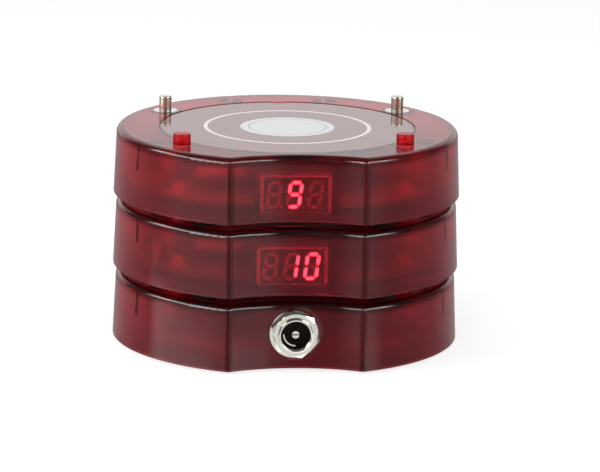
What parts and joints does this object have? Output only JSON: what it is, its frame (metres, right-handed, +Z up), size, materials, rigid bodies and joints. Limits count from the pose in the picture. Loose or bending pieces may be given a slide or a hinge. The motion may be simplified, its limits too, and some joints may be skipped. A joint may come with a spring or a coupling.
{
  "type": "guest pager system",
  "caption": "Charging stack of round coaster pagers on a base with a power jack, sprung charging pins, locating pegs and digit displays.",
  "frame": {"origin": "on the floor, under the middle of the round outline", "axes": "+Z up the stack; the concave front with the displays and the power jack faces -Y; +X is to the right seen from the front"},
  "size_m": [0.1, 0.0962, 0.0658],
  "materials": {
    "wine_shell": "translucent smoky wine red, polished",
    "wine_cover": "translucent wine red, satin",
    "plated_pin": "bright nickel with a pale gold tint",
    "spring_wire": "plain steel wire",
    "plated_bush": "bright nickel sleeve",
    "red_peg": "clear bright red acrylic",
    "zinc_screw": "zinc plated",
    "circuit_board": "white solder mask",
    "black_parts": "moulded black",
    "nickel": "bright nickel plate",
    "lead_cover": "soft insulation",
    "black_rubber": "matt rubber",
    "label_print": "dark printed polycarbonate, glossy",
    "brass_stud": "plated brass",
    "cell_can": "satin foil",
    "motor_can": "drawn steel can",
    "motor_weight": "sintered heavy metal",
    "lamp_red": "clear red lamp",
    "display_case": "light grey case, dark window",
    "lit_segment": "glowing red"
  },
  "bodies": {
    "base": {"base_top_shell": "wine_shell", "base_bottom_cover": "wine_cover", "base_pin_spring_left": "spring_wire", "base_pin_spring_right": "spring_wire", "base_pin_bushes": "plated_bush", "base_locating_pegs": "red_peg", "base_housing_screws": "zinc_screw", "base_charge_board": "circuit_board", "base_charge_components": "black_parts", "base_jack_barrel": "nickel", "base_jack_nut": "nickel", "base_jack_washer": "nickel", "base_jack_insulator": "black_parts", "base_jack_contacts": "nickel", "base_power_leads": "lead_cover", "base_anti_slip_ring": "black_rubber"},
    "lower_pager": {"lower_top_shell": "wine_shell", "lower_bottom_cover": "wine_cover", "lower_pin_spring_left": "spring_wire", "lower_pin_spring_right": "spring_wire", "lower_pin_bushes": "plated_bush", "lower_locating_pegs": "red_peg", "lower_housing_screws": "zinc_screw", "lower_label_disc": "label_print", "lower_rubber_feet": "black_rubber", "lower_contact_studs": "brass_stud", "lower_main_board": "circuit_board", "lower_board_components": "black_parts", "lower_battery": "cell_can", "lower_vibration_motor": "motor_can", "lower_buzzer": "black_parts", "lower_indicator_lamps": "lamp_red", "lower_display_module": "display_case", "lower_display_segments": "lit_segment"},
    "upper_pager": {"upper_top_shell": "wine_shell", "upper_bottom_cover": "wine_cover", "upper_pin_spring_left": "spring_wire", "upper_pin_spring_right": "spring_wire", "upper_pin_bushes": "plated_bush", "upper_locating_pegs": "red_peg", "upper_housing_screws": "zinc_screw", "upper_label_disc": "label_print", "upper_rubber_feet": "black_rubber", "upper_contact_studs": "brass_stud", "upper_main_board": "circuit_board", "upper_board_components": "black_parts", "upper_battery": "cell_can", "upper_vibration_motor": "motor_can", "upper_buzzer": "black_parts", "upper_indicator_lamps": "lamp_red", "upper_display_module": "display_case", "upper_display_segments": "lit_segment"},
    "base_pin_left": {"base_charge_pin_left": "plated_pin"},
    "base_pin_right": {"base_charge_pin_right": "plated_pin"},
    "lower_pin_left": {"lower_charge_pin_left": "plated_pin"},
    "lower_pin_right": {"lower_charge_pin_right": "plated_pin"},
    "upper_pin_left": {"upper_charge_pin_left": "plated_pin"},
    "upper_pin_right": {"upper_charge_pin_right": "plated_pin"},
    "lower_weight": {"lower_motor_weight": "motor_weight"},
    "upper_weight": {"upper_motor_weight": "motor_weight"}
  },
  "joints": [
    {"name": "lower_pager_lift", "type": "slide", "parent": "base", "child": "lower_pager", "axis": [0, 0, 1], "range_m": [0, 0.06]},
    {"name": "upper_pager_lift", "type": "slide", "parent": "lower_pager", "child": "upper_pager", "axis": [0, 0, 1], "range_m": [0, 0.06]},
    {"name": "base_pin_left_press", "type": "slide", "parent": "base", "child": "base_pin_left", "axis": [0, 0, 1], "range_m": [-0.0015, 0], "stiffness_N_per_m": 400, "springref_m": 0.0005, "deforming": ["base_pin_spring_left"]},
    {"name": "base_pin_right_press", "type": "slide", "parent": "base", "child": "base_pin_right", "axis": [0, 0, 1], "range_m": [-0.0015, 0], "stiffness_N_per_m": 400, "springref_m": 0.0005, "deforming": ["base_pin_spring_right"]},
    {"name": "lower_pin_left_press", "type": "slide", "parent": "lower_pager", "child": "lower_pin_left", "axis": [0, 0, 1], "range_m": [-0.0015, 0], "stiffness_N_per_m": 400, "springref_m": 0.0005, "deforming": ["lower_pin_spring_left"]},
    {"name": "lower_pin_right_press", "type": "slide", "parent": "lower_pager", "child": "lower_pin_right", "axis": [0, 0, 1], "range_m": [-0.0015, 0], "stiffness_N_per_m": 400, "springref_m": 0.0005, "deforming": ["lower_pin_spring_right"]},
    {"name": "upper_pin_left_press", "type": "slide", "parent": "upper_pager", "child": "upper_pin_left", "axis": [0, 0, 1], "range_m": [-0.0015, 0], "stiffness_N_per_m": 400, "springref_m": 0.0005, "deforming": ["upper_pin_spring_left"]},
    {"name": "upper_pin_right_press", "type": "slide", "parent": "upper_pager", "child": "upper_pin_right", "axis": [0, 0, 1], "range_m": [-0.0015, 0], "stiffness_N_per_m": 400, "springref_m": 0.0005, "deforming": ["upper_pin_spring_right"]},
    {"name": "lower_weight_spin", "type": "hinge", "parent": "lower_pager", "child": "lower_weight", "pos_m": [-0.011, -0.017, 0.03105], "axis": [1, 0, 0], "continuous": true},
    {"name": "upper_weight_spin", "type": "hinge", "parent": "upper_pager", "child": "upper_weight", "pos_m": [-0.011, -0.017, 0.0521], "axis": [1, 0, 0], "continuous": true}
  ]
}
